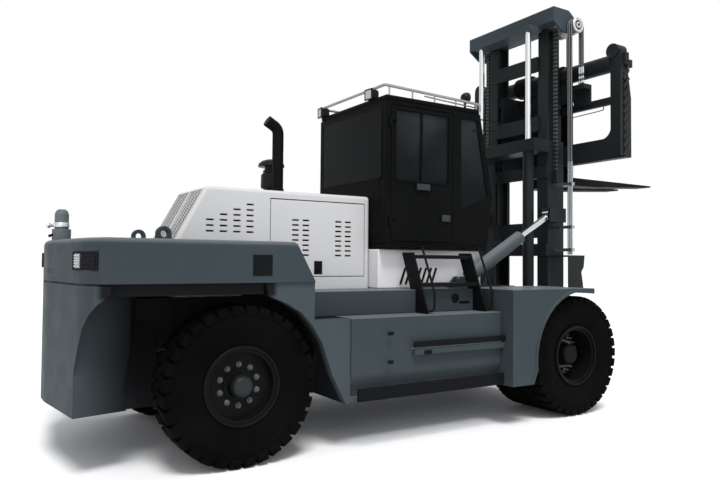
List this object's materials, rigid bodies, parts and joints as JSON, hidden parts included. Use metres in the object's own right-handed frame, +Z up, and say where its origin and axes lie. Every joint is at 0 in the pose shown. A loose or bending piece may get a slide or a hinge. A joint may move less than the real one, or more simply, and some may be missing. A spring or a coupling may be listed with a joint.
{
  "type": "heavy forklift truck",
  "caption": "Heavy counterbalanced forklift truck with a raised two-stage mast, side-shifting forks on a shaft carriage, a central cab and twin front wheels",
  "frame": {"origin": "on the ground, under the middle of the bounding box", "axes": "+X forward, towards the fork tips; +Y to the driver's left; +Z up"},
  "size_m": [8.31, 2.96, 5.0268],
  "materials": {
    "body_paint": "satin",
    "hood_paint": "gloss",
    "cab_paint": "gloss",
    "black_paint": "satin",
    "rim_paint": "satin",
    "tyre": "matte",
    "glass": "clear",
    "chrome": "polished",
    "steel": "oiled",
    "cast_iron": "painted",
    "hose_rubber": "matte",
    "seat_fabric": "woven",
    "plastic": "matte"
  },
  "bodies": {
    "chassis": {"chassis_frame": "black_paint", "side_decks": "body_paint", "side_tanks": "body_paint", "front_fenders": "body_paint", "rear_mudguards": "body_paint", "counterweight_slab": "body_paint", "counterweight_base": "body_paint", "lifting_lugs": "body_paint", "tow_pin": "body_paint", "engine_hood": "hood_paint", "engine_block": "cast_iron", "exhaust_stack": "black_paint", "air_cleaner": "plastic", "cab_base": "hood_paint", "cab_floor": "cab_paint", "cab_roof": "cab_paint", "cab_rear_wall": "cab_paint", "cab_front_wall": "cab_paint", "cab_side_walls": "cab_paint", "cab_glass": "glass", "roof_rail_and_lamps": "black_paint", "seat_base": "black_paint", "driver_seat": "seat_fabric", "steering_column": "plastic", "side_steps": "black_paint", "drive_axle": "cast_iron", "steer_axle": "cast_iron", "tilt_brackets": "black_paint"},
    "cab_door_right": {"cab_door_right": "cab_paint", "cab_door_glass_right": "glass"},
    "cab_door_left": {"cab_door_left": "cab_paint", "cab_door_glass_left": "glass"},
    "hood_door_right": {"hood_door_right": "hood_paint"},
    "hood_door_left": {"hood_door_left": "hood_paint"},
    "front_wheels_right": {"front_wheel_right": "rim_paint", "front_tyres_right": "tyre"},
    "front_wheels_left": {"front_wheel_left": "rim_paint", "front_tyres_left": "tyre"},
    "knuckle_right": {"knuckle_right": "cast_iron"},
    "knuckle_left": {"knuckle_left": "cast_iron"},
    "rear_wheel_right": {"rear_wheel_right": "rim_paint", "rear_tyre_right": "tyre"},
    "rear_wheel_left": {"rear_wheel_left": "rim_paint", "rear_tyre_left": "tyre"},
    "mast_outer": {"outer_mast": "black_paint", "lift_cylinders": "black_paint", "mast_pipes": "black_paint", "lift_chains_rear": "steel", "mast_hoses_rear": "hose_rubber"},
    "mast_inner": {"inner_mast": "black_paint", "crosshead": "black_paint", "lift_rods": "chrome", "mast_sheaves": "steel", "lift_chains_front": "steel", "mast_hoses_front": "hose_rubber"},
    "carriage": {"carriage_frame": "black_paint"},
    "fork_right": {"fork_right": "black_paint"},
    "fork_left": {"fork_left": "black_paint"},
    "tilt_barrels": {"tilt_barrels": "body_paint"},
    "tilt_rods": {"tilt_rods": "chrome"}
  },
  "joints": [
    {"name": "front_wheels_right_spin", "type": "hinge", "parent": "chassis", "child": "front_wheels_right", "pos_m": [1.285, -1.2225, 0.685], "axis": [0, 1, 0], "continuous": true},
    {"name": "knuckle_right_steer", "type": "hinge", "parent": "chassis", "child": "knuckle_right", "pos_m": [-2.765, -0.78, 0.685], "axis": [0, 0, 1], "range_deg": [-35, 35]},
    {"name": "rear_wheel_right_spin", "type": "hinge", "parent": "knuckle_right", "child": "rear_wheel_right", "pos_m": [-2.765, -1.1025, 0.685], "axis": [0, 1, 0], "continuous": true},
    {"name": "cab_door_right_hinge", "type": "hinge", "parent": "chassis", "child": "cab_door_right", "pos_m": [-0.9, -0.742, 2.7], "axis": [0, 0, -1], "range_deg": [0, 85]},
    {"name": "hood_door_right_hinge", "type": "hinge", "parent": "chassis", "child": "hood_door_right", "pos_m": [-1.595, -0.454, 2.368], "axis": [-1, 0, 0], "range_deg": [0, 80]},
    {"name": "front_wheels_left_spin", "type": "hinge", "parent": "chassis", "child": "front_wheels_left", "pos_m": [1.285, 1.2225, 0.685], "axis": [0, 1, 0], "continuous": true},
    {"name": "knuckle_left_steer", "type": "hinge", "parent": "chassis", "child": "knuckle_left", "pos_m": [-2.765, 0.78, 0.685], "axis": [0, 0, 1], "range_deg": [-35, 35]},
    {"name": "rear_wheel_left_spin", "type": "hinge", "parent": "knuckle_left", "child": "rear_wheel_left", "pos_m": [-2.765, 1.1025, 0.685], "axis": [0, 1, 0], "continuous": true},
    {"name": "cab_door_left_hinge", "type": "hinge", "parent": "chassis", "child": "cab_door_left", "pos_m": [-0.9, 0.742, 2.7], "axis": [0, 0, 1], "range_deg": [0, 85]},
    {"name": "hood_door_left_hinge", "type": "hinge", "parent": "chassis", "child": "hood_door_left", "pos_m": [-1.595, 0.454, 2.368], "axis": [1, 0, 0], "range_deg": [0, 80]},
    {"name": "mast_tilt", "type": "hinge", "parent": "chassis", "child": "mast_outer", "pos_m": [1.585, 0, 0.6], "axis": [0, 1, 0], "range_deg": [-10, 6]},
    {"name": "mast_lift", "type": "slide", "parent": "mast_outer", "child": "mast_inner", "axis": [0, 0, 1], "range_m": [-1.4, 0.4], "deforming": ["lift_chains_rear", "mast_hoses_rear"]},
    {"name": "carriage_lift", "type": "slide", "parent": "mast_inner", "child": "carriage", "axis": [0, 0, 1], "range_m": [-1.4, 0.4], "deforming": ["lift_chains_front", "mast_hoses_front"]},
    {"name": "fork_right_shift", "type": "slide", "parent": "carriage", "child": "fork_right", "axis": [0, -1, 0], "range_m": [-0.1, 0.69]},
    {"name": "fork_left_shift", "type": "slide", "parent": "carriage", "child": "fork_left", "axis": [0, 1, 0], "range_m": [-0.1, 0.69]},
    {"name": "tilt_barrels_swing", "type": "hinge", "parent": "chassis", "child": "tilt_barrels", "pos_m": [0.135, 0, 1.526], "axis": [0, 1, 0], "range_deg": [-5.3, 3.2]},
    {"name": "tilt_rods_slide", "type": "slide", "parent": "tilt_barrels", "child": "tilt_rods", "axis": [0.8668, 0, 0.4986], "range_m": [-0.27, 0.165]}
  ],
  "couplings": [
    {"joint": "knuckle_left_steer", "follows": "knuckle_right_steer", "ratio": 1},
    {"joint": "carriage_lift", "follows": "mast_lift", "ratio": 1},
    {"joint": "tilt_barrels_swing", "follows": "mast_tilt", "ratio": 0.5225},
    {"joint": "tilt_rods_slide", "follows": "mast_tilt", "m_per_rad": 1.54}
  ]
}
